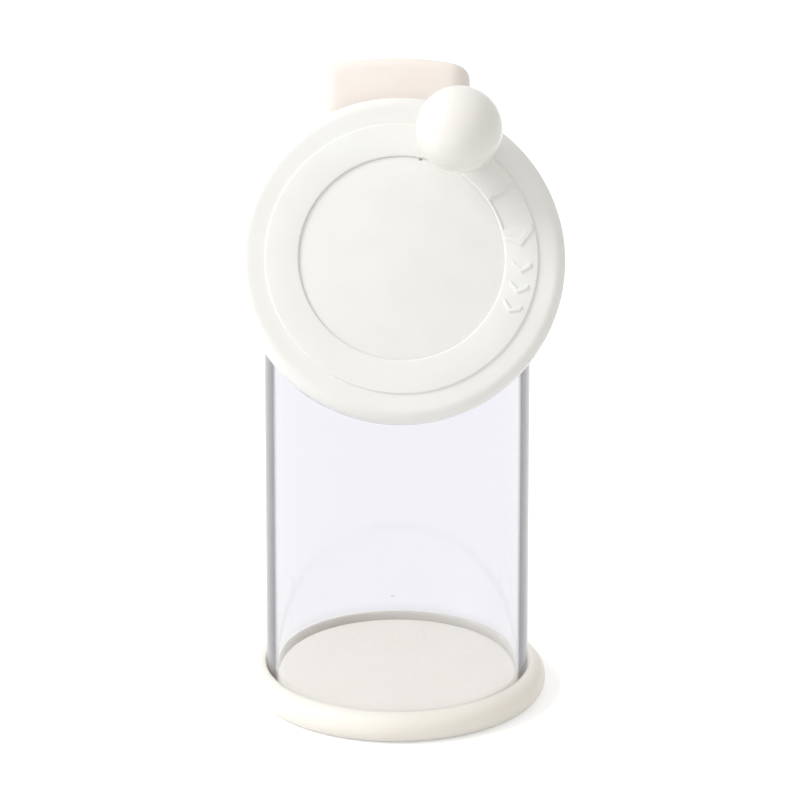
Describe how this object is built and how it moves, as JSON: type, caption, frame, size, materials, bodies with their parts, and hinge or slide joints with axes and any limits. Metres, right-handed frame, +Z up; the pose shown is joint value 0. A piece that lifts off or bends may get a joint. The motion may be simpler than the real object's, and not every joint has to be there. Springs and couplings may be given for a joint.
{
  "type": "japanese sesame grinder",
  "caption": "Hand-cranked seed grinder: clear tube on a push-on base lid, tilted round crank disc with a ball knob, burr set behind it, capped flat spout at the top.",
  "frame": {"origin": "centre of the base lid's underside, on the tube's axis", "axes": "+Z up along the tube, -Y towards the side that the crank disc faces, +X to the disc's right as seen from the front"},
  "size_m": [0.064, 0.0655, 0.1324],
  "materials": {
    "clear_shell": "clear glossy moulded plastic with a faint lilac tint",
    "ivory_lid": "semi-gloss ivory plastic",
    "cream_cap": "soft cream plastic with a satin face",
    "ivory_disc": "fine satin ivory plastic",
    "ivory_panel": "fine satin ivory plastic",
    "white_knob": "polished white plastic",
    "white_burr": "hard white moulded burr",
    "bush_plastic": "natural acetal",
    "steel": "bright stainless steel",
    "spring_steel": "drawn stainless spring wire"
  },
  "bodies": {
    "container": {"container": "clear_shell", "stator_burr": "white_burr", "stator_screws": "steel", "shaft_bush": "bush_plastic", "spring_seat": "steel", "burr_spring": "spring_steel"},
    "base_lid": {"base_lid": "ivory_lid"},
    "outlet_cap": {"outlet_cap": "cream_cap"},
    "spring_washer": {"spring_washer": "steel"},
    "crank": {"crank_disc": "ivory_disc", "hub_cover": "ivory_panel", "rotor_burr": "white_burr", "rotor_screws": "steel", "drive_shaft": "steel", "shaft_screw": "steel", "shaft_washer": "steel", "retaining_clip": "spring_steel", "knob_pin": "steel", "knob_washer": "bush_plastic"},
    "knob": {"knob": "white_knob"}
  },
  "joints": [
    {"name": "base_lid_pull", "type": "slide", "parent": "container", "child": "base_lid", "axis": [0, 0, -1], "range_m": [0, 0.015]},
    {"name": "outlet_cap_lift", "type": "slide", "parent": "container", "child": "outlet_cap", "axis": [0, 0.4695, 0.8829], "range_m": [0, 0.014]},
    {"name": "burr_float", "type": "slide", "parent": "container", "child": "spring_washer", "axis": [0, -0.8829, 0.4695], "range_m": [0, 0.0008], "stiffness_N_per_m": 1500, "springref_m": -0.003, "deforming": ["burr_spring"]},
    {"name": "crank_spin", "type": "hinge", "parent": "spring_washer", "child": "crank", "pos_m": [0, -0.022, 0.0984], "axis": [0, 0.8829, -0.4695], "continuous": true},
    {"name": "knob_spin", "type": "hinge", "parent": "crank", "child": "knob", "pos_m": [0.01093, -0.01129, 0.11855], "axis": [0, 0.8829, -0.4695], "continuous": true}
  ]
}
